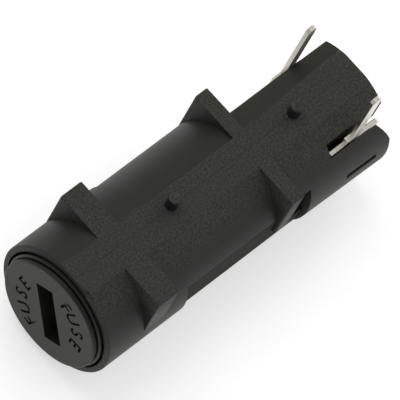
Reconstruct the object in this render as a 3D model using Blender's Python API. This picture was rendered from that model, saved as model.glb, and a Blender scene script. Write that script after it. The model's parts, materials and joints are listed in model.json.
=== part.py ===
# Board-mounted holder for one 5 x 20 mm cartridge fuse, with a bayonet cap in front.
# Everything is modelled about the barrel's axis: X across, Y from the front of the
# barrel to its rear, Z from the axis toward the circuit board. Sizes are millimetres
# here and become metres where the points are made. The finished part stands with its
# origin at the middle of the front foot, on the face that sits on the board.

import math

import bmesh
import bpy
from mathutils import Vector

MM = 0.001

# The fuse that the holder takes
FUSE_DIAMETER = 5.2
FUSE_LENGTH = 20.0

# Clearances
RUNNING_GAP = 0.15
SEAT_GAP = 0.12
BORE_GAP = 0.35
RIM_GAP = 0.25

# Walls and steps from the bore outward
STEM_WALL = 1.75
LUG_REACH = 0.8
MOUTH_LAND = 0.35
COLLAR_WALL = 0.6
COLLAR_STEP = 0.15
LAND_DEPTH = 0.1
SLOT_INNER_WALL = 0.85
SLOT_OUTER_WALL = 1.85
REAR_FLAT_WALL = 0.7
REAR_FLAT_STEP = 0.4

# Barrel
COLLAR_LENGTH = 9.75
COLLAR_EDGE = 0.2
SIDE_FLAT_DEPTH = 0.43
REAR_EDGE = 0.15
REAR_FLARE = 0.15

# Flat land along the board side, level with the feet
LAND_LEFT = 1.5
LAND_RIGHT = 2.0

# Feet: plates that are square toward the board
FOOT_INSET = 0.1
FRONT_FOOT_Y = 4.4
FRONT_FOOT_THICKNESS = 2.5
REAR_FOOT_Y = 21.0
REAR_FOOT_THICKNESS = 1.5

# Notch in the side just behind the rear foot
NOTCH_LENGTH = 2.7
NOTCH_DEPTH = 1.1
NOTCH_BELOW = 0.4
NOTCH_ABOVE = 3.15
NOTCH_FLAT_TOP = 0.4

# Locating pegs for the board
PEG_PITCH = 15.24
PEG_RADIUS = 0.58
PEG_HEIGHT = 1.5
PEG_TIP_CHAMFER = 0.12
PEG_ROOT = 1.0
FRONT_PEG_Y = 11.9

# Rear end: terminal slot, its outer wall and the window through that wall
TERMINAL_SLOT_WIDTH = 1.1
TERMINAL_SLOT_LENGTH = 7.1
TERMINAL_SLOT_FLOOR = -2.9
WALL_END_CHAMFER = 1.5
WINDOW_FROM_END = 5.4
WINDOW_LENGTH = 3.7
WINDOW_TOP = 1.6
WINDOW_HEIGHT = 0.6

# Bayonet mouth
MOUTH_DEPTH = 1.9
LUG_HALF_ANGLE = 15.0
LUG_THICKNESS = 1.4
LEDGE_THICKNESS = 1.5
LOCK_ANGLE = 60.0
STEM_LENGTH = 6.4
MOUTH_LEAD_IN = 1.4

# Cap head
HEAD_STANDOUT = 0.85
HEAD_LEDGE = 0.2
HEAD_EDGE = 0.15
HEAD_THICKNESS = 0.38
GROOVE_DEPTH = 0.3
GROOVE_WIDTH = 0.2
SLOT_LENGTH = 6.55
SLOT_WIDTH = 1.97
SLOT_DEPTH = 1.6
SLOT_ANGLE = 119.1
CAP_WEB = 3.6

# Fuse clip and its rivet
CLIP_SHEET = 0.25
CLIP_FINGERS = 4
CLIP_FINGER_SLOT = 0.9
CLIP_LENGTH = 8.6
CLIP_CUP_LENGTH = 2.2
CLIP_WAIST = 0.2
CLIP_WAIST_SHARE = 0.3
RIVET_RADIUS = 0.55
RIVET_HEAD_RADIUS = 1.1
RIVET_HEAD_HEIGHT = 0.35
RIVET_DEPTH = 1.2

# Terminals, stamped from one sheet, with flat pins
SHEET = 0.45
PIN_WIDTH = 1.1
PIN_HEIGHT = 5.7
PIN_TIP = 0.3
PIN_FROM_END = 4.05
BLADE_HALF_HEIGHT = 1.1
FRONT_SHOULDER_TOP = 3.8
FRONT_SHOULDER_LENGTH = 1.1
CONTACT_INSET = 0.6
CONTACT_LENGTH = 3.2
REAR_BLADE_TOP = 4.6
REAR_SHOULDER_TOP = 5.5
REAR_SHOULDER_LENGTH = 0.75
REAR_ARM_WIDTH = 2.2
REAR_TAIL_TOP = 4.3
REAR_TAIL_HEIGHT = 1.6
REAR_TAIL_END_GAP = 0.6
TAIL_CORNER = 0.3
END_PLATE_HALF_HEIGHT = 2.6
END_PLATE_REACH = 2.7
END_RECESS = 3.15

# Rear contact and its spring
CONTACT_PRELOAD = 0.8
CONTACT_SKIRT = 3.2
CONTACT_FACE = 0.4
CONTACT_EDGE = 0.3
SPRING_ROOM = 9.26
SPRING_WIRE = 0.4
SPRING_TURNS = 7
END_TURNS = 1
END_TURN_PITCH = 1.15

# Steps round a full turn, and how far a cutter runs past the face that it opens
ROUND_STEPS = 64
BORE_STEPS = 32
COIL_STEPS = 14
PEG_STEPS = 16
CUTTER_PAST = 1.0

# Worked out from the sizes above
BORE_RADIUS = FUSE_DIAMETER / 2 + BORE_GAP
STEM_RADIUS = BORE_RADIUS + STEM_WALL
STEM_BORE_RADIUS = STEM_RADIUS + RUNNING_GAP
LUG_RADIUS = STEM_RADIUS + LUG_REACH
LUG_TRACK_RADIUS = LUG_RADIUS + RUNNING_GAP
MOUTH_RADIUS = LUG_TRACK_RADIUS + MOUTH_LAND
COLLAR_RADIUS = MOUTH_RADIUS + COLLAR_WALL
MIDDLE_RADIUS = COLLAR_RADIUS - COLLAR_STEP
RIM_RADIUS = MOUTH_RADIUS - RIM_GAP
HEAD_RADIUS = RIM_RADIUS - HEAD_LEDGE
GROOVE_RADIUS = HEAD_RADIUS - GROOVE_DEPTH
SLOT_INNER_X = BORE_RADIUS + SLOT_INNER_WALL
SLOT_OUTER_X = SLOT_INNER_X + TERMINAL_SLOT_WIDTH
REAR_RADIUS = SLOT_OUTER_X + SLOT_OUTER_WALL
REAR_FLAT_X = -(BORE_RADIUS + REAR_FLAT_WALL)
FOOT_HEIGHT = COLLAR_RADIUS - LAND_DEPTH
FOOT_HALF_WIDTH = COLLAR_RADIUS - FOOT_INSET
REAR_FOOT_END_Y = REAR_FOOT_Y + REAR_FOOT_THICKNESS
NOTCH_END_Y = REAR_FOOT_END_Y + NOTCH_LENGTH
LOCK_FLOOR_Y = MOUTH_DEPTH + LEDGE_THICKNESS
LOCK_END_Y = LOCK_FLOOR_Y + LUG_THICKNESS + 2 * RUNNING_GAP
STEM_FRONT_Y = MOUTH_DEPTH - RUNNING_GAP
STEM_END_Y = STEM_FRONT_Y + STEM_LENGTH
STEM_BORE_END_Y = STEM_END_Y + RUNNING_GAP
CAP_FLOOR_Y = -HEAD_STANDOUT + CAP_WEB
CLIP_BASE_Y = CAP_FLOOR_Y + SEAT_GAP
CLIP_END_Y = CLIP_BASE_Y + CLIP_LENGTH
CLIP_RADIUS = BORE_RADIUS - RUNNING_GAP
CONTACT_Y = CLIP_END_Y - CONTACT_INSET - CONTACT_LENGTH / 2
FUSE_REAR_Y = CLIP_BASE_Y + CLIP_SHEET + SEAT_GAP + RIVET_HEAD_HEIGHT + FUSE_LENGTH
REAR_CONTACT_Y = FUSE_REAR_Y - CONTACT_PRELOAD
END_PLATE_Y = REAR_CONTACT_Y + SPRING_ROOM
BARREL_LENGTH = END_PLATE_Y + END_RECESS
PIN_Y = BARREL_LENGTH - PIN_FROM_END
TERMINAL_SLOT_Y = BARREL_LENGTH - TERMINAL_SLOT_LENGTH
BARREL_PLACE = (0.0, -(FRONT_FOOT_Y + FRONT_FOOT_THICKNESS / 2), -FOOT_HEIGHT)


def make_material(name, colour, roughness, metallic):
    material = bpy.data.materials.new(name)
    material.use_nodes = True
    shader = material.node_tree.nodes["Principled BSDF"]
    shader.inputs["Base Color"].default_value = (*colour, 1.0)
    shader.inputs["Roughness"].default_value = roughness
    shader.inputs["Metallic"].default_value = metallic
    material.diffuse_color = (*colour, 1.0)
    return material


def make_object(name, bm, material=None):
    # Local origin on the barrel's axis, so a piece that turns or slides has its origin there
    bmesh.ops.remove_doubles(bm, verts=bm.verts, dist=1e-7)
    bmesh.ops.recalc_face_normals(bm, faces=bm.faces)
    mesh = bpy.data.meshes.new(name)
    bm.to_mesh(mesh)
    bm.free()
    obj = bpy.data.objects.new(name, mesh)
    bpy.context.collection.objects.link(obj)
    obj.location = Vector(BARREL_PLACE) * MM
    if material:
        mesh.materials.append(material)
    return obj


def lathe(name, outline, steps, material=None):
    # Turns an outline of (radius, y) points about the barrel's axis
    bm = bmesh.new()
    verts = [bm.verts.new(Vector((radius, y, 0.0)) * MM) for radius, y in outline]
    touches_axis = outline[0][0] == 0.0 and outline[-1][0] == 0.0
    ends = verts[1:] if touches_axis else verts[1:] + verts[:1]
    edges = [bm.edges.new(pair) for pair in zip(verts, ends)]
    bmesh.ops.spin(
        bm, geom=verts + edges, cent=(0, 0, 0), axis=(0, 1, 0),
        angle=math.tau, steps=steps, use_merge=True,
    )
    return make_object(name, bm, material)


def prism(name, outline, direction, start, end, material=None):
    # Extrudes an outline along one axis; its two coordinates are the other two, in X, Y, Z order
    places = {
        "x": lambda a, b, c: (c, a, b),
        "y": lambda a, b, c: (a, c, b),
        "z": lambda a, b, c: (a, b, c),
    }
    place = places[direction]
    bm = bmesh.new()
    verts = [bm.verts.new(Vector(place(a, b, start)) * MM) for a, b in outline]
    face = bm.faces.new(verts)
    moved = bmesh.ops.extrude_face_region(bm, geom=[face])["geom"]
    step = Vector(place(0.0, 0.0, end - start)) * MM
    bmesh.ops.translate(bm, vec=step, verts=[v for v in moved if isinstance(v, bmesh.types.BMVert)])
    return make_object(name, bm, material)


def block(name, x_span, y_span, z_span):
    (x0, x1), (y0, y1), (z0, z1) = x_span, y_span, z_span
    return prism(name, [(x0, y0), (x1, y0), (x1, y1), (x0, y1)], "z", z0, z1)


def ring_sector(name, radii, y_span, angles, steps):
    # Part of a ring about the barrel's axis; angles run from +X toward +Z
    inner, outer = radii
    start, end = (math.radians(a) for a in angles)
    turns = [start + (end - start) * i / steps for i in range(steps + 1)]
    outline = [(outer * math.cos(a), outer * math.sin(a)) for a in turns]
    outline += [(inner * math.cos(a), inner * math.sin(a)) for a in reversed(turns)]
    return prism(name, outline, "y", *y_span)


def arc(centre, radius, start, end, steps):
    points = []
    for i in range(steps + 1):
        a = math.radians(start + (end - start) * i / steps)
        points.append((centre[0] + radius * math.cos(a), centre[1] + radius * math.sin(a)))
    return points


def combine(target, tool, operation):
    change = target.modifiers.new(tool.name, "BOOLEAN")
    change.operation = operation
    change.solver = "EXACT"
    change.object = tool
    bpy.context.view_layer.objects.active = target
    bpy.ops.object.modifier_apply(modifier=change.name)
    bpy.data.objects.remove(tool)


def add(target, tool):
    combine(target, tool, "UNION")


def cut(target, tool):
    combine(target, tool, "DIFFERENCE")


def finish_round(obj, angle=30.0):
    obj.data.shade_smooth()
    obj.data.set_sharp_from_angle(angle=math.radians(angle))


def barrel_outline():
    edge_centre = (COLLAR_RADIUS - COLLAR_EDGE, COLLAR_EDGE)
    rear_centre = (REAR_RADIUS - REAR_EDGE, BARREL_LENGTH - REAR_EDGE)
    outside = [
        (COLLAR_RADIUS, COLLAR_LENGTH),
        (MIDDLE_RADIUS, COLLAR_LENGTH),
        (MIDDLE_RADIUS, NOTCH_END_Y),
        (REAR_RADIUS - REAR_FLARE, NOTCH_END_Y),
    ]
    front_edge = arc(edge_centre, COLLAR_EDGE, -90, 0, 4)
    rear_edge = arc(rear_centre, REAR_EDGE, 0, 90, 3)
    return [(0.0, 0.0)] + front_edge + outside + rear_edge + [(0.0, BARREL_LENGTH)]


def bore_outline():
    before, past = -CUTTER_PAST, BARREL_LENGTH + CUTTER_PAST
    return [
        (0.0, before),
        (MOUTH_RADIUS, before),
        (MOUTH_RADIUS, MOUTH_DEPTH),
        (STEM_BORE_RADIUS, MOUTH_DEPTH),
        (STEM_BORE_RADIUS, STEM_BORE_END_Y),
        (BORE_RADIUS, STEM_BORE_END_Y + MOUTH_LEAD_IN),
        (BORE_RADIUS, past),
        (0.0, past),
    ]


def add_board_side(housing):
    # Two feet, and a flat land between the first and the last round of the barrel
    feet = (
        ("front_foot", (FRONT_FOOT_Y, FRONT_FOOT_Y + FRONT_FOOT_THICKNESS)),
        ("rear_foot", (REAR_FOOT_Y, REAR_FOOT_END_Y)),
    )
    for name, span in feet:
        add(housing, block(name, (-FOOT_HALF_WIDTH, FOOT_HALF_WIDTH), span, (0.0, FOOT_HEIGHT)))
    span = (COLLAR_EDGE, BARREL_LENGTH - REAR_EDGE)
    add(housing, block("land", (-LAND_LEFT, LAND_RIGHT), span, (0.0, FOOT_HEIGHT)))


def make_housing(plastic):
    housing = lathe("housing", barrel_outline(), ROUND_STEPS, plastic)
    add_board_side(housing)
    add_notch(housing)
    cut(housing, lathe("bore", bore_outline(), ROUND_STEPS))
    far = 2 * COLLAR_RADIUS
    flat = (MIDDLE_RADIUS - SIDE_FLAT_DEPTH, far)
    cut(housing, block("side_flat", flat, (COLLAR_LENGTH, REAR_FOOT_Y), (-far, far)))
    cut(housing, block("lower_flat", flat, (REAR_FOOT_Y, NOTCH_END_Y), (-far, NOTCH_FLAT_TOP)))
    cut_rear(housing)
    cut_bayonet(housing)
    # Nothing but the pegs rises past the plane of the board
    whole = (-CUTTER_PAST, BARREL_LENGTH + CUTTER_PAST)
    cut(housing, block("board_plane", (-far, far), whole, (FOOT_HEIGHT, far)))
    add_pegs(housing)
    finish_round(housing)
    return housing


def add_notch(housing):
    # The thicker rear reaches forward to the foot on the board side only; a pocket lies below that
    shoulder_radius = REAR_RADIUS - REAR_FLARE
    edge_angle = math.degrees(math.asin(NOTCH_ABOVE / shoulder_radius))
    radii = (BORE_RADIUS, shoulder_radius)
    span = (REAR_FOOT_Y + REAR_FOOT_THICKNESS / 2, NOTCH_END_Y + REAR_EDGE)
    add(housing, ring_sector("rear_shoulder", radii, span, (edge_angle, 180.0 - edge_angle), 20))
    far = 2 * COLLAR_RADIUS
    pocket = (REAR_FOOT_END_Y, NOTCH_END_Y)
    cut(housing, block("notch", (MIDDLE_RADIUS - NOTCH_DEPTH, far), pocket, (-NOTCH_BELOW, NOTCH_ABOVE)))


def cut_rear(housing):
    far = 2 * COLLAR_RADIUS
    past = BARREL_LENGTH + CUTTER_PAST
    pin_end = PIN_Y + PIN_WIDTH / 2 + SEAT_GAP
    cut(housing, block("rear_flat", (-far, REAR_FLAT_X), (REAR_FOOT_END_Y, past), (-far, far)))
    cut(housing, block("flat_end", (-far, REAR_FLAT_X + REAR_FLAT_STEP), (pin_end, past), (-far, far)))
    cut(housing, block(
        "terminal_slot", (SLOT_INNER_X, SLOT_OUTER_X), (TERMINAL_SLOT_Y, past), (TERMINAL_SLOT_FLOOR, far),
    ))
    # The outer wall's free end is bevelled inside, to lead the terminal in
    half_slot = TERMINAL_SLOT_WIDTH / 2
    slot_x = SLOT_OUTER_X - half_slot
    bevel = [
        (slot_x, BARREL_LENGTH - WALL_END_CHAMFER - half_slot),
        (SLOT_OUTER_X + WALL_END_CHAMFER + CUTTER_PAST, past), (slot_x, past),
    ]
    cut(housing, prism("wall_end", bevel, "z", TERMINAL_SLOT_FLOOR, far))
    window_y = BARREL_LENGTH - WINDOW_FROM_END
    cut(housing, block(
        "window", (slot_x, far), (window_y, window_y + WINDOW_LENGTH),
        (WINDOW_TOP - WINDOW_HEIGHT, WINDOW_TOP),
    ))
    # Pocket for the rear terminal's end plate, open to the rear
    cut(housing, block(
        "end_pocket", (-END_PLATE_REACH - SEAT_GAP, slot_x), (END_PLATE_Y - SEAT_GAP, past),
        (-END_PLATE_HALF_HEIGHT - SEAT_GAP, END_PLATE_HALF_HEIGHT + SEAT_GAP),
    ))
    # Tunnel for the front terminal's blade, from the rear flat to its contact
    blade_x = front_blade_x()
    blade_z = (-BLADE_HALF_HEIGHT - SEAT_GAP, BLADE_HALF_HEIGHT + SEAT_GAP)
    cut(housing, block(
        "blade_tunnel", (blade_x - SHEET - SEAT_GAP, blade_x + SEAT_GAP),
        (CONTACT_Y - SEAT_GAP, REAR_FOOT_END_Y + SEAT_GAP), blade_z,
    ))
    cut(housing, block(
        "contact_pocket", (blade_x - SHEET, -BORE_RADIUS / 2),
        (CONTACT_Y - SEAT_GAP, CONTACT_Y + CONTACT_LENGTH + SEAT_GAP), blade_z,
    ))


def lug_angles():
    return [SLOT_ANGLE, SLOT_ANGLE + 180.0]


def cut_bayonet(housing):
    side = LUG_HALF_ANGLE + math.degrees(RUNNING_GAP / STEM_RADIUS)
    radii = (STEM_RADIUS - LUG_REACH, LUG_TRACK_RADIUS)
    for angle in lug_angles():
        cut(housing, ring_sector(
            "channel", radii, (MOUTH_DEPTH - LUG_REACH, LOCK_END_Y), (angle - side, angle + side), 6,
        ))
        cut(housing, ring_sector(
            "lock_track", radii, (LOCK_FLOOR_Y, LOCK_END_Y),
            (angle - LOCK_ANGLE - side, angle + side), 18,
        ))


def add_pegs(housing):
    top = FOOT_HEIGHT + PEG_HEIGHT
    outline = [
        (0.0, MIDDLE_RADIUS - PEG_ROOT), (PEG_RADIUS, MIDDLE_RADIUS - PEG_ROOT),
        (PEG_RADIUS, top - PEG_TIP_CHAMFER), (PEG_RADIUS - PEG_TIP_CHAMFER, top), (0.0, top),
    ]
    for y in (FRONT_PEG_Y, FRONT_PEG_Y + PEG_PITCH):
        bm = bmesh.new()
        verts = [bm.verts.new(Vector((r, y, z)) * MM) for r, z in outline]
        edges = [bm.edges.new(pair) for pair in zip(verts, verts[1:])]
        bmesh.ops.spin(
            bm, geom=verts + edges, cent=Vector((0, y, 0)) * MM, axis=(0, 0, 1),
            angle=math.tau, steps=PEG_STEPS, use_merge=True,
        )
        add(housing, make_object("peg", bm))


def cap_outline():
    face = -HEAD_STANDOUT
    head_edge = arc((HEAD_RADIUS - HEAD_EDGE, face + HEAD_EDGE), HEAD_EDGE, -90, 0, 3)
    groove_y = face + HEAD_THICKNESS
    rim_y = groove_y + GROOVE_WIDTH
    return [(0.0, face)] + head_edge + [
        (HEAD_RADIUS, groove_y), (GROOVE_RADIUS, groove_y),
        (GROOVE_RADIUS, rim_y), (RIM_RADIUS - HEAD_EDGE, rim_y),
        (RIM_RADIUS, rim_y + HEAD_EDGE), (RIM_RADIUS, STEM_FRONT_Y),
        (STEM_RADIUS, STEM_FRONT_Y), (STEM_RADIUS, STEM_END_Y - HEAD_EDGE),
        (STEM_RADIUS - HEAD_EDGE, STEM_END_Y), (BORE_RADIUS + HEAD_EDGE, STEM_END_Y),
        (BORE_RADIUS, STEM_END_Y - HEAD_EDGE), (BORE_RADIUS, CAP_FLOOR_Y), (0.0, CAP_FLOOR_Y),
    ]


def make_cap(plastic):
    cap = lathe("cap", cap_outline(), ROUND_STEPS, plastic)
    lug_y = LOCK_FLOOR_Y + RUNNING_GAP
    for angle in lug_angles():
        lug = ring_sector(
            "lug", (STEM_RADIUS - LUG_REACH, LUG_RADIUS), (lug_y, lug_y + LUG_THICKNESS),
            (angle - LUG_HALF_ANGLE, angle + LUG_HALF_ANGLE), 4,
        )
        add(cap, lug)
    a = math.radians(SLOT_ANGLE)
    along = Vector((math.cos(a), math.sin(a)))
    across = Vector((-math.sin(a), math.cos(a)))
    corners = [
        along * SLOT_LENGTH / 2 * i + across * SLOT_WIDTH / 2 * j
        for i, j in ((1, 1), (-1, 1), (-1, -1), (1, -1))
    ]
    face = -HEAD_STANDOUT
    cut(cap, prism("driver_slot", corners, "y", face - CUTTER_PAST, face + SLOT_DEPTH))
    hole = RIVET_RADIUS + RUNNING_GAP
    deep = CAP_FLOOR_Y - RIVET_DEPTH - RUNNING_GAP
    past = CAP_FLOOR_Y + CUTTER_PAST
    bore = [(0.0, deep), (hole, deep), (hole, past), (0.0, past)]
    cut(cap, lathe("rivet_hole", bore, BORE_STEPS))
    finish_round(cap)
    return cap


def make_clip(brass):
    # Cup and fingers in one drawn piece; the fingers close a little to grip the fuse's end cap
    base, inner_base = CLIP_BASE_Y, CLIP_BASE_Y + CLIP_SHEET
    outer = CLIP_RADIUS
    finger_run = CLIP_LENGTH - CLIP_CUP_LENGTH
    waist_y = CLIP_END_Y - CLIP_WAIST_SHARE * finger_run
    outside = [
        (outer, base), (outer, base + CLIP_CUP_LENGTH), (outer - CLIP_WAIST, waist_y), (outer, CLIP_END_Y),
    ]
    inside = [(radius - CLIP_SHEET, y) for radius, y in reversed(outside[1:])]
    hole = RIVET_RADIUS + RUNNING_GAP
    outline = [(hole, base)] + outside + inside + [(outer - CLIP_SHEET, inner_base), (hole, inner_base)]
    clip = lathe("fuse_clip", outline, BORE_STEPS, brass)
    for i in range(CLIP_FINGERS // 2):
        turn = math.radians(SLOT_ANGLE) + math.pi * i / (CLIP_FINGERS // 2) + math.pi / 4
        along = Vector((math.cos(turn), math.sin(turn))) * (outer + CUTTER_PAST)
        across = Vector((-math.sin(turn), math.cos(turn))) * CLIP_FINGER_SLOT / 2
        corners = [along + across, -along + across, -along - across, along - across]
        past = CLIP_END_Y + CUTTER_PAST
        cut(clip, prism("finger_slot", corners, "y", CLIP_BASE_Y + CLIP_CUP_LENGTH, past))
    finish_round(clip)
    return clip


def make_rivet(brass):
    tip = CAP_FLOOR_Y - RIVET_DEPTH
    seat = CLIP_BASE_Y + CLIP_SHEET + SEAT_GAP
    top = seat + RIVET_HEAD_HEIGHT
    outline = [
        (0.0, tip), (RIVET_RADIUS, tip), (RIVET_RADIUS, seat), (RIVET_HEAD_RADIUS, seat),
        (RIVET_HEAD_RADIUS, seat + RIVET_HEAD_HEIGHT / 2), (RIVET_RADIUS, top), (0.0, top),
    ]
    rivet = lathe("clip_rivet", outline, PEG_STEPS, brass)
    finish_round(rivet)
    return rivet


def front_blade_x():
    # Inner face of the front terminal's blade, which lies against the rear flat
    return REAR_FLAT_X - SEAT_GAP


def pin_tip():
    # The bevelled end of a pin, in Y and Z, from its rear edge to its front edge
    top = FOOT_HEIGHT + PIN_HEIGHT
    rear, front = PIN_Y + PIN_WIDTH / 2, PIN_Y - PIN_WIDTH / 2
    return [(rear, top - PIN_TIP), (rear - PIN_TIP, top), (front + PIN_TIP, top), (front, top - PIN_TIP)]


def make_front_terminal(tin):
    inner = front_blade_x()
    outer = inner - SHEET
    half = BLADE_HALF_HEIGHT
    pin_front, pin_rear = PIN_Y - PIN_WIDTH / 2, PIN_Y + PIN_WIDTH / 2
    shoulder = pin_front - FRONT_SHOULDER_LENGTH
    bend_end = CONTACT_Y + CONTACT_LENGTH
    outline = [(bend_end, -half), (pin_rear, -half)] + pin_tip() + [
        (pin_front, FRONT_SHOULDER_TOP), (shoulder, FRONT_SHOULDER_TOP), (shoulder, half), (bend_end, half),
    ]
    terminal = prism("front_terminal", outline, "x", outer, inner, tin)
    # Bent tongue that presses on the side of the clip
    touch = -(CLIP_RADIUS + SEAT_GAP)
    middle = CONTACT_Y + CONTACT_LENGTH / 2
    lap = bend_end + SHEET
    tongue = [
        (outer, lap), (outer, bend_end), (touch - SHEET, middle), (outer, CONTACT_Y),
        (inner, CONTACT_Y), (touch, middle - SHEET / 2), (touch, middle + SHEET / 2),
        (inner, bend_end), (inner, lap),
    ]
    add(terminal, prism("tongue", tongue, "z", -half, half))
    return terminal


def make_rear_terminal(tin):
    outer = SLOT_OUTER_X - SEAT_GAP
    inner = outer - SHEET
    start = TERMINAL_SLOT_Y + SEAT_GAP
    end = BARREL_LENGTH - REAR_TAIL_END_GAP
    low = TERMINAL_SLOT_FLOOR + SEAT_GAP
    pin_front, pin_rear = PIN_Y - PIN_WIDTH / 2, PIN_Y + PIN_WIDTH / 2
    shoulder = pin_front - REAR_SHOULDER_LENGTH
    arm_end = END_PLATE_Y + SHEET
    arm_start = arm_end - REAR_ARM_WIDTH
    tail_low = REAR_TAIL_TOP - REAR_TAIL_HEIGHT
    outline = [
        (start, BLADE_HALF_HEIGHT), (arm_start, BLADE_HALF_HEIGHT), (arm_start, low), (arm_end, low),
        (arm_end, tail_low), (end - TAIL_CORNER, tail_low), (end, tail_low + TAIL_CORNER),
        (end, REAR_TAIL_TOP - TAIL_CORNER), (end - TAIL_CORNER, REAR_TAIL_TOP), (pin_rear, REAR_TAIL_TOP),
    ]
    outline += pin_tip() + [
        (pin_front, REAR_SHOULDER_TOP), (shoulder, REAR_SHOULDER_TOP), (shoulder, REAR_BLADE_TOP),
        (start, REAR_BLADE_TOP),
    ]
    terminal = prism("rear_terminal", outline, "x", inner, outer, tin)
    half = END_PLATE_HALF_HEIGHT
    middle = (inner + outer) / 2
    plate = [(-END_PLATE_REACH, -half), (middle, -half), (middle, half), (-END_PLATE_REACH, half)]
    add(terminal, prism("end_plate", plate, "y", END_PLATE_Y, END_PLATE_Y + SHEET))
    return terminal


def make_rear_contact(brass):
    front, back = REAR_CONTACT_Y, REAR_CONTACT_Y + CONTACT_SKIRT
    outer = BORE_RADIUS - RUNNING_GAP
    inner = outer - CONTACT_FACE
    outline = [
        (0.0, front), (outer - CONTACT_EDGE, front), (outer, front + CONTACT_EDGE), (outer, back),
        (inner, back), (inner, front + CONTACT_FACE), (0.0, front + CONTACT_FACE),
    ]
    contact = lathe("rear_contact", outline, BORE_STEPS, brass)
    finish_round(contact)
    return contact


def make_spring(steel):
    # A coil with closed end turns between the contact cup and the end plate
    start = REAR_CONTACT_Y + CONTACT_FACE + SEAT_GAP + SPRING_WIRE / 2
    end = END_PLATE_Y - SEAT_GAP - SPRING_WIRE / 2
    radius = BORE_RADIUS - RUNNING_GAP - CONTACT_FACE - RUNNING_GAP - SPRING_WIRE / 2
    end_rise = SPRING_WIRE * END_TURN_PITCH * END_TURNS
    open_rise = end - start - 2 * end_rise
    open_turns = SPRING_TURNS - 2 * END_TURNS
    curve = bpy.data.curves.new("rear_spring", "CURVE")
    curve.dimensions = "3D"
    curve.bevel_depth = SPRING_WIRE / 2 * MM
    curve.bevel_resolution = 1
    curve.use_fill_caps = True
    count = SPRING_TURNS * COIL_STEPS
    spline = curve.splines.new("POLY")
    spline.points.add(count)
    for i, point in enumerate(spline.points):
        turn = i / COIL_STEPS
        left = SPRING_TURNS - turn
        if turn <= END_TURNS:
            y = start + end_rise * turn / END_TURNS
        elif left <= END_TURNS:
            y = end - end_rise * left / END_TURNS
        else:
            y = start + end_rise + open_rise * (turn - END_TURNS) / open_turns
        a = math.tau * turn
        place = Vector((radius * math.cos(a), y, radius * math.sin(a))) * MM
        point.co = (*place, 1.0)
    spring = bpy.data.objects.new("rear_spring", curve)
    bpy.context.collection.objects.link(spring)
    spring.location = Vector(BARREL_PLACE) * MM
    curve.materials.append(steel)
    return spring


def build():
    for obj in list(bpy.data.objects):
        bpy.data.objects.remove(obj)
    black = make_material("black_moulding", (0.042, 0.042, 0.038), 0.55, 0.0)
    cap_black = make_material("cap_moulding", (0.045, 0.045, 0.042), 0.5, 0.0)
    tin = make_material("tinned_brass", (0.72, 0.71, 0.66), 0.3, 1.0)
    brass = make_material("nickel_plated_brass", (0.66, 0.63, 0.55), 0.3, 1.0)
    steel = make_material("spring_steel", (0.5, 0.5, 0.5), 0.35, 1.0)
    make_housing(black)
    make_cap(cap_black)
    make_clip(brass)
    make_rivet(brass)
    make_front_terminal(tin)
    make_rear_terminal(tin)
    make_rear_contact(brass)
    make_spring(steel)


build()
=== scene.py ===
import json
import math

import bpy
from mathutils import Matrix, Vector

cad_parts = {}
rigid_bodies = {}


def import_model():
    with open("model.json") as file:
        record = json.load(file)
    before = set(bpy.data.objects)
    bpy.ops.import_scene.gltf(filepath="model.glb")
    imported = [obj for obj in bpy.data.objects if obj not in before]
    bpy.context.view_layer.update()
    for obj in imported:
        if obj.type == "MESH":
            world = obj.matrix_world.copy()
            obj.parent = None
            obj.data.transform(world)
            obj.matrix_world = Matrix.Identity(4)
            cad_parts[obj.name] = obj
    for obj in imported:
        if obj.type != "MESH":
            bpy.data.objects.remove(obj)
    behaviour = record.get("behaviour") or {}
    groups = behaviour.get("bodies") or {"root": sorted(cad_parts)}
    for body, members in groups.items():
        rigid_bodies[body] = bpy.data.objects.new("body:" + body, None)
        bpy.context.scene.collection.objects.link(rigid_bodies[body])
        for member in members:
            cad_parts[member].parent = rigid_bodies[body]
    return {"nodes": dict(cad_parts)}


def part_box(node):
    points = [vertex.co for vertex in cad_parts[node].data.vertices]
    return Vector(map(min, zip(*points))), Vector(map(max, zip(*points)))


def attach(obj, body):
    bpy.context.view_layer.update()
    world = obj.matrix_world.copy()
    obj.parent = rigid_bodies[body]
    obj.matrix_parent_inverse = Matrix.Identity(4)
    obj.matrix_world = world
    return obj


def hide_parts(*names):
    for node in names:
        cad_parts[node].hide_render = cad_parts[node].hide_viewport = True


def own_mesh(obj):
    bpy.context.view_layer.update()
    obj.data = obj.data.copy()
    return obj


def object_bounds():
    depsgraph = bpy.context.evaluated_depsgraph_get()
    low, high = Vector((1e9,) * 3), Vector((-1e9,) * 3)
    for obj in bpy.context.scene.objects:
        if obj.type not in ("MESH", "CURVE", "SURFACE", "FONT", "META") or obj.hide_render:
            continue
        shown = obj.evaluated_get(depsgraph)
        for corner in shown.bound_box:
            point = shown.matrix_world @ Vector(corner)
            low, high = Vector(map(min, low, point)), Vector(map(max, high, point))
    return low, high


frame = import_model()
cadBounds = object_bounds()
print("frame loaded")

mm = 0.001

# The view of the photograph, taken from far away
photoCamera = {
    "azimuth": 18.9,      # degrees, 0 looks along +Y
    "elevation": 60.0,
    "roll": 31.4,
    "distance": 600 * mm,
    "pixelsPerMetre": 11322.0,
    "aimBehindFront": 17.94 * mm,
    "frameWidth": 400,
    "shiftRight": 0.36,   # pixels
    "shiftDown": 0.35,
    "sensor": 36.0,
    "clip": (0.01, 10.0),
}


def barrelAxis():
    low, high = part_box("cap")
    return (low[0] + high[0]) / 2, (low[2] + high[2]) / 2


axisX, axisZ = barrelAxis()
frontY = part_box("housing")[0][1]


def towards(azimuth, elevation):
    a, e = math.radians(azimuth), math.radians(elevation)
    return Vector((math.sin(a) * math.cos(e), -math.cos(a) * math.cos(e), math.sin(e)))


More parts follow.
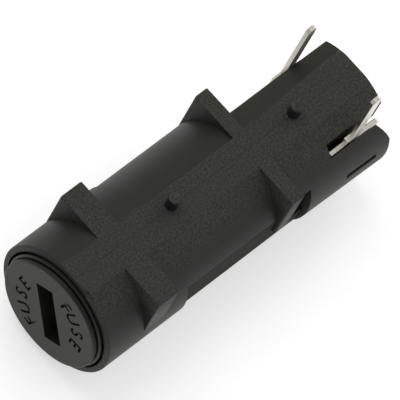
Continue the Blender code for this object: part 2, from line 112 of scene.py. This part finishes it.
def makeCamera():
    c = photoCamera
    target = Vector((axisX, frontY + c["aimBehindFront"], axisZ))
    back = towards(c["azimuth"], c["elevation"])
    turn = (-back).to_track_quat("-Z", "Y").to_matrix().to_4x4()
    roll = Matrix.Rotation(math.radians(c["roll"]), 4, "Z")
    camData = bpy.data.cameras.new("photoCamera")
    camData.sensor_width = c["sensor"]
    camData.lens = c["sensor"] * c["pixelsPerMetre"] * c["distance"] / c["frameWidth"]
    camData.shift_x = -c["shiftRight"] / c["frameWidth"]
    camData.shift_y = c["shiftDown"] / c["frameWidth"]
    camData.clip_start, camData.clip_end = c["clip"]
    camera = bpy.data.objects.new("photoCamera", camData)
    bpy.context.collection.objects.link(camera)
    camera.matrix_world = Matrix.Translation(target + back * c["distance"]) @ turn @ roll
    bpy.context.scene.camera = camera


makeCamera()
print("camera placed")


# Nodes and links in few words
def addNode(tree, kind, **settings):
    node = tree.nodes.new(kind)
    for key, value in settings.items():
        if key in node.inputs:
            node.inputs[key].default_value = value
        else:
            setattr(node, key, value)
    return node


def newGroup(name, *outputs):
    group = bpy.data.node_groups.new(name, "ShaderNodeTree")
    for label in outputs:
        group.interface.new_socket(label, in_out="OUTPUT", socket_type="NodeSocketFloat")
    return group, group.nodes.new("NodeGroupOutput")


def useGroup(tree, group):
    return addNode(tree, "ShaderNodeGroup", node_tree=group)


def feed(tree, socket, value):
    # A number or a colour is set, an output is linked
    if isinstance(value, (int, float)):
        socket.default_value = value
    elif isinstance(value, tuple):
        socket.default_value = (*value, 1.0)
    else:
        tree.links.new(value, socket)


def maths(tree, operation, first, second=None, clamp=False):
    node = addNode(tree, "ShaderNodeMath", operation=operation, use_clamp=clamp)
    feed(tree, node.inputs[0], first)
    if second is not None:
        feed(tree, node.inputs[1], second)
    return node.outputs[0]


def mixValue(tree, factor, first, second):
    node = addNode(tree, "ShaderNodeMix", data_type="FLOAT")
    for socket, value in zip((0, 2, 3), (factor, first, second)):
        feed(tree, node.inputs[socket], value)
    return node.outputs[0]


def mixColour(tree, factor, first, second):
    node = addNode(tree, "ShaderNodeMix", data_type="RGBA")
    for socket, value in zip((0, 6, 7), (factor, first, second)):
        feed(tree, node.inputs[socket], value)
    return node.outputs[2]


def objectSpot(tree):
    return tree.nodes.new("ShaderNodeTexCoord").outputs["Object"]


def noiseOf(tree, spot, perMetre, detail=2.0, roughness=0.5):
    node = addNode(tree, "ShaderNodeTexNoise", Scale=perMetre, Detail=detail, Roughness=roughness)
    tree.links.new(spot, node.inputs["Vector"])
    return node.outputs["Fac"]


def stepped(tree, value, start, end):
    node = addNode(tree, "ShaderNodeMapRange", interpolation_type="SMOOTHSTEP")
    node.inputs["From Min"].default_value = start
    node.inputs["From Max"].default_value = end
    tree.links.new(value, node.inputs["Value"])
    return node.outputs[0]


def between(tree, value, limits):
    # Rises over the first two limits and falls over the last two
    rise = stepped(tree, value, *limits[:2])
    fall = stepped(tree, value, *limits[2:])
    return maths(tree, "SUBTRACT", rise, fall)


def uneven(tree, value, pattern, amount):
    # Up to half the amount to either side of the value
    swing = maths(tree, "MULTIPLY", maths(tree, "SUBTRACT", pattern, 0.5), amount)
    return maths(tree, "ADD", value, swing)


mouldGrain = {
    "coarse": (5000.0, 3.0, 0.6),    # cells per metre, detail and roughness
    "fine": (11000.0, 2.0, 0.5),
    "cloud": (210.0, 3.0, 0.55),
    "fineShare": 0.4,
    "edges": (0.36, 0.64),
}


def grainGroup():
    group, ends = newGroup("mouldGrain", "Height", "Cloud")
    spot = objectSpot(group)
    coarse, fine, cloud = (noiseOf(group, spot, *mouldGrain[key]) for key in ("coarse", "fine", "cloud"))
    both = mixValue(group, mouldGrain["fineShare"], coarse, fine)
    group.links.new(stepped(group, both, *mouldGrain["edges"]), ends.inputs["Height"])
    group.links.new(cloud, ends.inputs["Cloud"])
    return group


# Soft limits of the zones, in the part's own frame
mattZones = {
    "land": (-0.16 * mm, -0.05 * mm),    # z
    "run": (-2.8 * mm, -0.7 * mm),       # z on the side where the land runs out
    "runSide": (1.8 * mm, 2.0 * mm),     # x
    "pegs": (0.02 * mm, 0.05 * mm, 1.34 * mm, 1.38 * mm),          # z
    "flat": (5.98 * mm, 6.0 * mm, 6.05 * mm, 6.07 * mm),           # x
    "flatEnds": (3.9 * mm, 4.1 * mm, 19.5 * mm, 19.6 * mm),        # y
    "slotWall": (3.74 * mm, 3.76 * mm, 3.84 * mm, 3.86 * mm),      # x
    "slotHeight": (-9.1 * mm, -9.0 * mm, -1.35 * mm, -1.3 * mm),   # z
    "slotFrom": (20.5 * mm, 20.6 * mm),  # y
    "lineAt": 0.08 * mm,                 # x of the mould's parting line
    "lineWidth": (0.03 * mm, 0.06 * mm),   # to either side of it
    "lineAbove": (-1.0 * mm, 0.0),       # z
}


def mattGroup():
    # Matt is 1 on the spark-eroded faces, Flat on the side flat, Line on the parting
    # line, and the dull mask on the pegs and the inner wall of the terminal's slot, where a duller finish
    # and a painted shade fall
    group, ends = newGroup("mattZones", "Matt", "Flat", "Line", "DullShade")
    zones = mattZones
    apart = group.nodes.new("ShaderNodeSeparateXYZ")
    group.links.new(objectSpot(group), apart.inputs[0])
    x, y, z = apart.outputs
    pegs = between(group, z, zones["pegs"])
    run = maths(group, "MULTIPLY", stepped(group, z, *zones["run"]), stepped(group, x, *zones["runSide"]))
    eroded = maths(group, "MAXIMUM", stepped(group, z, *zones["land"]), run)
    group.links.new(maths(group, "SUBTRACT", eroded, pegs, clamp=True), ends.inputs["Matt"])
    flat = maths(group, "MULTIPLY", between(group, x, zones["flat"]), between(group, y, zones["flatEnds"]))
    group.links.new(flat, ends.inputs["Flat"])
    aside = maths(group, "ABSOLUTE", maths(group, "SUBTRACT", x, zones["lineAt"]))
    thin = maths(group, "SUBTRACT", 1.0, stepped(group, aside, *zones["lineWidth"]))
    line = maths(group, "MULTIPLY", stepped(group, z, *zones["lineAbove"]), thin)
    group.links.new(line, ends.inputs["Line"])
    # Painted shade: the inner wall of the terminal's slot and the sides of the pegs are marked for a
    # near-black colour that stands in for their shadow
    deep = between(group, z, zones["slotHeight"])
    wall = maths(group, "MULTIPLY", between(group, x, zones["slotWall"]), deep)
    wall = maths(group, "MULTIPLY", wall, stepped(group, y, *zones["slotFrom"]))
    group.links.new(maths(group, "MAXIMUM", wall, pegs), ends.inputs["DullShade"])
    return group


grain = grainGroup()
matt = mattGroup()


def startMaterial(name):
    material = bpy.data.materials.new(name)
    material.use_nodes = True
    tree = material.node_tree
    return material, tree, tree.nodes["Principled BSDF"]


housingLook = {
    "dark": (0.0170, 0.0170, 0.0130),
    "pale": (0.0230, 0.0230, 0.0180),
    "landDark": (0.0230, 0.0230, 0.0190),
    "landPale": (0.0660, 0.0655, 0.0570),
    "line": (0.0160, 0.0160, 0.0125),
    # Painted shade: a near-black colour for the pegs' sides and the slot's inner wall, where shadow falls
    "dullShade": (0.0080, 0.0080, 0.0060),
    "sheen": (1.0, 1.0, 0.93, 1.0),
    "mirror": 0.25,
    "sideRoughness": 0.5,
    "landRoughness": 0.62,
    "flatRoughness": 0.9,
    "dullRoughness": 0.9,
    "unevenness": 0.12,
    "sideBump": 0.10,
    "landBump": 1.0,
    "bumpDistance": 0.05 * mm,
}


def housingMaterial():
    look = housingLook
    material, tree, shader = startMaterial("housingPlastic")
    height, cloud = useGroup(tree, grain).outputs
    mask, flat, line, dullShade = useGroup(tree, matt).outputs
    side = mixColour(tree, cloud, look["dark"], look["pale"])
    land = mixColour(tree, height, look["landDark"], look["landPale"])
    skin = mixColour(tree, mask, side, land)
    skin = mixColour(tree, maths(tree, "MULTIPLY", line, cloud), skin, look["line"])
    # Painted shade on the pegs' sides and the slot's inner wall
    skin = mixColour(tree, dullShade, skin, look["dullShade"])
    tree.links.new(skin, shader.inputs["Base Color"])
    shader.inputs["Specular IOR Level"].default_value = look["mirror"]
    shader.inputs["Specular Tint"].default_value = look["sheen"]
    rough = mixValue(tree, mask, look["sideRoughness"], look["landRoughness"])
    rough = mixValue(tree, flat, rough, look["flatRoughness"])
    rough = mixValue(tree, dullShade, rough, look["dullRoughness"])
    tree.links.new(uneven(tree, rough, cloud, look["unevenness"]), shader.inputs["Roughness"])
    bump = addNode(tree, "ShaderNodeBump", Distance=look["bumpDistance"])
    depth = mixValue(tree, mask, look["sideBump"], look["landBump"])
    tree.links.new(maths(tree, "MULTIPLY", height, depth), bump.inputs["Height"])
    tree.links.new(bump.outputs[0], shader.inputs["Normal"])
    return material


capLook = {
    "dark": (0.0110, 0.0108, 0.0078),
    "pale": (0.0185, 0.0182, 0.0138),
    "sheen": (1.0, 1.0, 0.93, 1.0),
    "mirror": 0.26,
    "roughness": 0.42,
    "unevenness": 0.12,
    "bump": 0.16,
    "bumpDistance": 0.04 * mm,
}


def capMaterial():
    look = capLook
    material, tree, shader = startMaterial("capPlastic")
    height, cloud = useGroup(tree, grain).outputs
    skin = mixColour(tree, cloud, look["dark"], look["pale"])
    tree.links.new(skin, shader.inputs["Base Color"])
    shader.inputs["Specular IOR Level"].default_value = look["mirror"]
    shader.inputs["Specular Tint"].default_value = look["sheen"]
    rough = uneven(tree, look["roughness"], cloud, look["unevenness"])
    tree.links.new(rough, shader.inputs["Roughness"])
    bump = addNode(tree, "ShaderNodeBump", Strength=look["bump"], Distance=look["bumpDistance"])
    tree.links.new(height, bump.inputs["Height"])
    tree.links.new(bump.outputs[0], shader.inputs["Normal"])
    return material


metalLooks = {
    # dark and pale colour, roughness, patches per metre
    "tinPlate": ((0.60, 0.585, 0.52), (0.80, 0.785, 0.72), 0.34, 900.0),
    "nickelPlate": ((0.50, 0.47, 0.40), (0.70, 0.67, 0.59), 0.24, 1400.0),
    "springSteel": ((0.34, 0.34, 0.34), (0.56, 0.56, 0.55), 0.26, 2400.0),
}
metalSkin = {
    "patches": (3.0, 0.6),   # detail and roughness of the noise
    "unevenness": 0.3,
    "bump": 0.2,
    "bumpDistance": 0.01 * mm,
    "finer": 4,              # bumps to a patch
}


def metalMaterial(name):
    dark, pale, roughness, perMetre = metalLooks[name]
    material, tree, shader = startMaterial(name)
    shader.inputs["Metallic"].default_value = 1.0
    spot = objectSpot(tree)
    patches = noiseOf(tree, spot, perMetre, *metalSkin["patches"])
    tree.links.new(mixColour(tree, patches, dark, pale), shader.inputs["Base Color"])
    rough = uneven(tree, roughness, patches, metalSkin["unevenness"])
    tree.links.new(rough, shader.inputs["Roughness"])
    bump = addNode(tree, "ShaderNodeBump", Strength=metalSkin["bump"], Distance=metalSkin["bumpDistance"])
    tree.links.new(noiseOf(tree, spot, metalSkin["finer"] * perMetre), bump.inputs["Height"])
    tree.links.new(bump.outputs[0], shader.inputs["Normal"])
    return material


housingPlastic = housingMaterial()
capPlastic = capMaterial()
tinPlate, nickelPlate, springSteel = (metalMaterial(name) for name in metalLooks)
print("materials made")

# Shared steps of modelling
meshCare = {
    "merge": 0.002 * mm,
    "flat": 0.4,      # degrees between faces that become one
    "sharp": 32.0,    # degrees from which an edge may be rounded
    "turned": 3.2,    # degrees to either side that a turned face may reach
    "endOn": 0.05,    # sideways part of a normal, under which a face looks along the barrel
}


def pick(obj):
    bpy.ops.object.select_all(action="DESELECT")
    obj.select_set(True)
    bpy.context.view_layer.objects.active = obj
    return obj


def dress(obj, material):
    obj.data.materials.clear()
    obj.data.materials.append(material)
    return obj


def mergedCopy(node, name, material):
    # The CAD node as one closed skin with its flat faces whole
    pick(frame["nodes"][node])
    bpy.ops.object.duplicate()
    piece = bpy.context.object
    piece.name = piece.data.name = name
    bpy.ops.object.parent_clear(type="CLEAR_KEEP_TRANSFORM")
    bpy.ops.object.mode_set(mode="EDIT")
    bpy.ops.mesh.select_all(action="SELECT")
    bpy.ops.mesh.remove_doubles(threshold=meshCare["merge"])
    bpy.ops.mesh.dissolve_limited(angle_limit=math.radians(meshCare["flat"]))
    bpy.ops.mesh.select_all(action="SELECT")
    bpy.ops.mesh.normals_make_consistent(inside=False)
    bpy.ops.object.mode_set(mode="OBJECT")
    return dress(piece, material)


def outerEdges(mesh, allowed):
    # Sharp edges that stick out, where the test allows it
    sides = {}
    for face in mesh.polygons:
        for key in face.edge_keys:
            sides.setdefault(key, []).append(face)
    chosen = []
    for edge in mesh.edges:
        pair = sides.get(edge.key, ())
        if len(pair) != 2:
            continue
        first, second = pair
        outward = (second.center - first.center).dot(first.normal) < 0
        sharp = first.normal.angle(second.normal, 0.0) > math.radians(meshCare["sharp"])
        if outward and sharp and allowed(*(mesh.vertices[i].co for i in edge.vertices)):
            chosen.append(edge.index)
    return chosen


def turnedNormals(piece):
    # Round along the barrel's axis where a face belongs to a turned surface, flat elsewhere
    mesh = piece.data
    mesh.polygons.foreach_set("use_smooth", [True] * len(mesh.polygons))
    widest = math.radians(meshCare["turned"])
    normals = [None] * len(mesh.loops)
    for face in mesh.polygons:
        normal = face.normal.copy()
        turns = []
        if math.hypot(normal.x, normal.z) > meshCare["endOn"]:
            for loop in face.loop_indices:
                spot = mesh.vertices[mesh.loops[loop].vertex_index].co
                x, z = spot.x - axisX, spot.z - axisZ
                turn = math.atan2(normal.x * z - normal.z * x, normal.x * x + normal.z * z)
                if abs(turn) > math.pi / 2:
                    turn -= math.copysign(math.pi, turn)
                turns.append(turn)
        turned = turns and max(abs(turn) for turn in turns) < widest
        for step, loop in enumerate(face.loop_indices):
            normals[loop] = Matrix.Rotation(-turns[step], 3, "Y") @ normal if turned else normal
    mesh.normals_split_custom_set(normals)


def roundEdges(piece, width, segments, allowed=lambda a, b: True):
    pick(piece)
    mesh = piece.data
    weights = mesh.attributes.new("bevel_weight_edge", "FLOAT", "EDGE")
    for index in outerEdges(mesh, allowed):
        weights.data[index].value = 1.0
    bevel = piece.modifiers.new("edges", "BEVEL")
    bevel.limit_method = "WEIGHT"
    bevel.width = width
    bevel.segments = segments
    bevel.use_clamp_overlap = False
    bpy.ops.object.modifier_apply(modifier=bevel.name)
    turnedNormals(piece)


def addBlock(low, high):
    middle = [(a + b) / 2 for a, b in zip(low, high)]
    bpy.ops.object.select_all(action="DESELECT")
    bpy.ops.mesh.primitive_cube_add(
        size=1, location=middle, scale=[b - a for a, b in zip(low, high)],
    )
    bpy.ops.object.transform_apply(location=True, rotation=True, scale=True)
    return bpy.context.object, Vector(middle)


def moveCorners(piece, test, by):
    bpy.ops.object.mode_set(mode="EDIT")
    bpy.ops.mesh.select_all(action="DESELECT")
    bpy.ops.object.mode_set(mode="OBJECT")
    for vertex in piece.data.vertices:
        vertex.select = test(vertex.co)
    bpy.ops.object.mode_set(mode="EDIT")
    bpy.ops.transform.translate(value=by)
    bpy.ops.object.mode_set(mode="OBJECT")


def combine(piece, tool, operation):
    pick(piece)
    step = piece.modifiers.new("step", "BOOLEAN")
    step.operation = operation
    step.solver = "EXACT"
    step.object = tool
    bpy.ops.object.modifier_apply(modifier=step.name)
    bpy.data.objects.remove(tool)


def place(piece, node, body):
    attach(piece, body)
    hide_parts(node)


# Housing
housingShape = {
    "edge": 0.13 * mm,
    "edgeSteps": 2,
    "footSide": 6.5 * mm,
    "feet": ((4.4 * mm, 6.9 * mm), (21.0 * mm, 22.5 * mm)),   # behind the front of the barrel
    "near": 0.02 * mm,
    "rampTop": (1.6 * mm, 2.0 * mm),         # x on the land
    "rampFoot": (3.755 * mm, -1.256 * mm),   # x and z on the barrel
    "rampEnds": (0.2 * mm, 0.15 * mm),       # short of both ends of the housing
    "fillX": (-3.62 * mm, -3.2 * mm),
    "fillZ": (-12.02 * mm, -0.62 * mm),
    "fillEnds": (0.07 * mm, 0.02 * mm),      # behind the front terminal, short of the rear end
    "fillOuter": (0, 0, -0.24 * mm),         # corners moved to follow the barrel
    "fillRear": (0, 0, -0.06 * mm),
}


def footEdge(a, b):
    # On the board face or on one side of a foot
    near = housingShape["near"]
    for start, end in housingShape["feet"]:
        if all(start - near < p.y - frontY < end + near for p in (a, b)):
            level = all(p.z > -near for p in (a, b))
            side = all(abs(p.x) > housingShape["footSide"] - near for p in (a, b))
            return level or side
    return False


def addRamp(housing):
    # The land runs out to the barrel on the side of the terminal's slot
    startX, endX = housingShape["rampTop"]
    footX, footZ = housingShape["rampFoot"]
    front, back = housingShape["rampEnds"]
    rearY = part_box("housing")[1][1]
    ramp, middle = addBlock((startX, frontY + front, footZ), (endX, rearY - back, 0))
    moveCorners(ramp, lambda p: p.x > middle.x and p.z < middle.z, (footX - endX, 0, 0))
    combine(housing, ramp, "UNION")


def fillFlat(housing):
    # The rear flat runs on behind the front terminal's pin without a step
    (outer, inner), (bottom, top) = housingShape["fillX"], housingShape["fillZ"]
    behind, short = housingShape["fillEnds"]
    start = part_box("front_terminal")[1][1] + behind
    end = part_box("housing")[1][1] - short
    slab, middle = addBlock((outer, start, bottom), (inner, end, top))
    moveCorners(slab, lambda p: p.x < middle.x and p.z > middle.z, housingShape["fillOuter"])
    moveCorners(slab, lambda p: p.y > middle.y and p.z > middle.z, housingShape["fillRear"])
    combine(housing, slab, "UNION")


housing = mergedCopy("housing", "housingBody", housingPlastic)
addRamp(housing)
fillFlat(housing)
roundEdges(housing, housingShape["edge"], housingShape["edgeSteps"], footEdge)
place(housing, "housing", "barrel")
print("housing done", len(housing.data.polygons))

# Cap with its engraved word, written twice round the driver slot
capShape = {
    "word": "FUSE",
    "spots": (
        # angle in degrees and radius in mm of each letter, as the photograph shows them
        ((73.0, 3.50), (53.0, 3.45), (27.0, 3.45), (-0.5, 3.45)),
        ((250.0, 3.42), (227.0, 3.30), (197.0, 3.28), (169.0, 3.35)),
    ),
    "letterSize": 2.0 * mm,
    "letterBold": 0.03 * mm,
    "letterDepth": 0.2 * mm,
}


def addLetter(letter, centre, across, up):
    bpy.ops.object.select_all(action="DESELECT")
    bpy.ops.object.text_add()
    text = bpy.context.object
    text.data.body = letter
    text.data.size = capShape["letterSize"]
    text.data.extrude = capShape["letterDepth"]
    text.data.offset = capShape["letterBold"]
    text.data.align_x = "CENTER"
    text.data.align_y = "CENTER"
    bpy.ops.object.convert(target="MESH")
    text = bpy.context.object
    turn = Matrix((across, up, Vector((0.0, -1.0, 0.0)))).transposed().to_4x4()
    text.data.transform(Matrix.Translation(centre) @ turn)
    return text


def engravedWord(faceY):
    letters = []
    for spots in capShape["spots"]:
        for letter, (angle, radius) in zip(capShape["word"], spots):
            phi = math.radians(angle)
            across = Vector((math.sin(phi), 0.0, -math.cos(phi)))
            up = Vector((math.cos(phi), 0.0, math.sin(phi)))
            centre = Vector((axisX, faceY, axisZ)) + up * radius * mm
            letters.append(addLetter(letter, centre, across, up))
    pick(letters[0])
    for letter in letters:
        letter.select_set(True)
    bpy.ops.object.join()
    return bpy.context.object


cap = mergedCopy("cap", "capBody", capPlastic)
word = engravedWord(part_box("cap")[0][1])
combine(cap, word, "DIFFERENCE")
turnedNormals(cap)
place(cap, "cap", "bayonet_cap")
print("cap done", len(cap.data.polygons))

# Stamped and turned metal pieces
metalPieces = (
    # node, piece, body, slot, material and width of the rounded edges
    ("front_terminal", "frontTerminal", "barrel", "tinned_brass", tinPlate, 0.06 * mm),
    ("rear_terminal", "rearTerminal", "barrel", "tinned_brass", tinPlate, 0.06 * mm),
    ("fuse_clip", "fuseClip", "carrier", "contact_plate", nickelPlate, 0.05 * mm),
    ("clip_rivet", "clipRivet", "carrier", "contact_plate", nickelPlate, 0.06 * mm),
    ("rear_contact", "rearContact", "plunger", "contact_plate", nickelPlate, 0.05 * mm),
)
metalEdgeSteps = 2
for node, name, body, slot, material, edge in metalPieces:
    piece = mergedCopy(node, name, material)
    roundEdges(piece, edge, metalEdgeSteps)
    place(piece, node, body)
    print(name, "done", len(piece.data.polygons))

# Contact spring; the real one shortens as the contact is pressed, this copy keeps its shape
springSmooth = 60.0   # degrees
spring = pick(mergedCopy("rear_spring", "rearSpring", springSteel))
bpy.ops.object.shade_smooth_by_angle(angle=math.radians(springSmooth))
place(spring, "rear_spring", "barrel")
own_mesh(spring)
print("spring done", len(spring.data.polygons))

# Studio, with soft panels round the object and a white table
floorLook = {
    "size": 1.2,
    "albedo": ((0.80, 0.80, 0.80), (0.84, 0.84, 0.84)),
    "patches": 4.0,       # per metre
    "roughness": 0.9,
    "glow": 0.5,          # only in what is seen and mirrored, so that lit paper is white
}
lightPanels = (
    # name, azimuth and elevation in degrees, distance and size, radiance
    ("left", 270.0, 25.0, 260 * mm, 220 * mm, 0.22),
    ("right", 90.0, 25.0, 260 * mm, 220 * mm, 0.22),
    ("back", 180.0, 25.0, 260 * mm, 220 * mm, 1.1),
    ("leftTop", 270.0, 60.0, 260 * mm, 200 * mm, 1.3),
)
panelAim = Vector((axisX, 12 * mm, axisZ))
worldStrength = 0.47


def makeFloor():
    bpy.ops.object.select_all(action="DESELECT")
    bpy.ops.mesh.primitive_plane_add(size=floorLook["size"], location=(axisX, 0, cadBounds[0][2]))
    floor = bpy.context.object
    bpy.ops.object.transform_apply(location=True, rotation=True, scale=True)
    floor.name = "studioFloor"
    material, tree, shader = startMaterial("studioFloor")
    shade = noiseOf(tree, objectSpot(tree), floorLook["patches"])
    tree.links.new(mixColour(tree, shade, *floorLook["albedo"]), shader.inputs["Base Color"])
    shader.inputs["Roughness"].default_value = floorLook["roughness"]
    shader.inputs["Specular IOR Level"].default_value = 0.0
    rays = tree.nodes.new("ShaderNodeLightPath").outputs
    seen = maths(tree, "ADD", rays["Is Camera Ray"], rays["Is Glossy Ray"], clamp=True)
    seen = maths(tree, "ADD", seen, rays["Is Transmission Ray"], clamp=True)
    glow = addNode(tree, "ShaderNodeEmission", Color=(1.0, 1.0, 1.0, 1.0))
    tree.links.new(maths(tree, "MULTIPLY", seen, floorLook["glow"]), glow.inputs["Strength"])
    both = tree.nodes.new("ShaderNodeAddShader")
    tree.links.new(shader.outputs[0], both.inputs[0])
    tree.links.new(glow.outputs[0], both.inputs[1])
    tree.links.new(both.outputs[0], tree.nodes["Material Output"].inputs[0])
    dress(floor, material)


def addPanel(name, azimuth, elevation, distance, size, radiance):
    away = towards(azimuth, elevation)
    data = bpy.data.lights.new(name, "AREA")
    data.shape = "SQUARE"
    data.size = size
    data.energy = radiance * math.pi * data.size ** 2
    panel = bpy.data.objects.new(name, data)
    bpy.context.collection.objects.link(panel)
    turn = away.to_track_quat("Z", "Y").to_matrix().to_4x4()
    panel.matrix_world = Matrix.Translation(panelAim + away * distance) @ turn


makeFloor()
for panel in lightPanels:
    addPanel(*panel)
world = bpy.data.worlds.new("studio")
bpy.context.scene.world = world
world.use_nodes = True
background = world.node_tree.nodes["Background"]
background.inputs["Color"].default_value = (1, 1, 1, 1)
background.inputs["Strength"].default_value = worldStrength
bpy.context.scene.view_settings.view_transform = "Standard"
print("studio lit")
